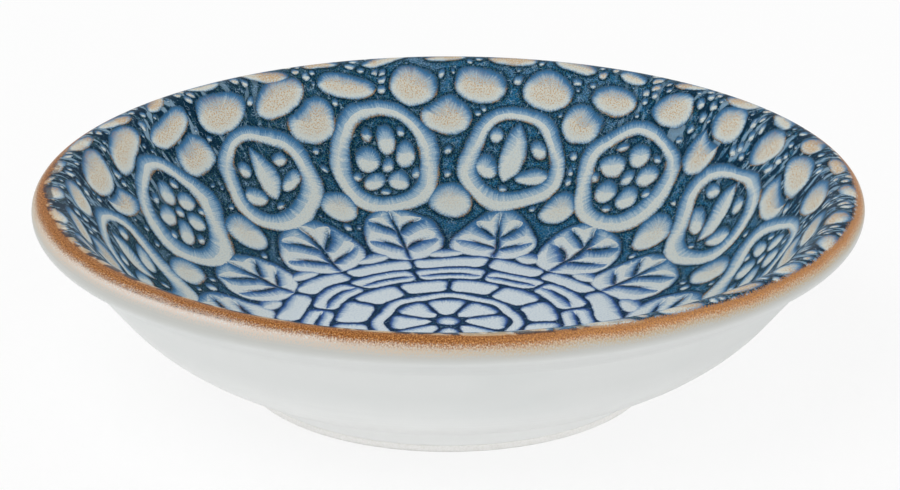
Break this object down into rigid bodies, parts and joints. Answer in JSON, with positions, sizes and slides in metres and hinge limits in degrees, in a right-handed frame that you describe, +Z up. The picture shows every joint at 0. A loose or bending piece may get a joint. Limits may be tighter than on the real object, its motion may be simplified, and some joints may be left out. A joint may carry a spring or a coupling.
{
  "type": "soy sauce dish",
  "caption": "Shallow round porcelain sauce dish on a foot ring, with a decorated blue inside, a brown edged lip and a plain white outside.",
  "frame": {"origin": "centre of the foot ring, on the surface the dish stands on", "axes": "+Z up along the dish's axis; +X to the right and -Y towards the viewer in the reference view"},
  "size_m": [0.09, 0.09, 0.0222],
  "materials": {
    "bisque": "matt, unglazed and fired, where the foot ring touches the table",
    "decorated_glaze": "satin gloss, cobalt and cream decoration under the glaze",
    "iron_glaze": "satin gloss, speckled iron brown",
    "white_glaze": "satin gloss, plain cool white"
  },
  "bodies": {
    "root": {"porcelain_body": "bisque", "inner_glaze": "decorated_glaze", "rim_glaze": "iron_glaze", "outer_glaze": "white_glaze", "foot_well_glaze": "white_glaze"}
  },
  "joints": []
}
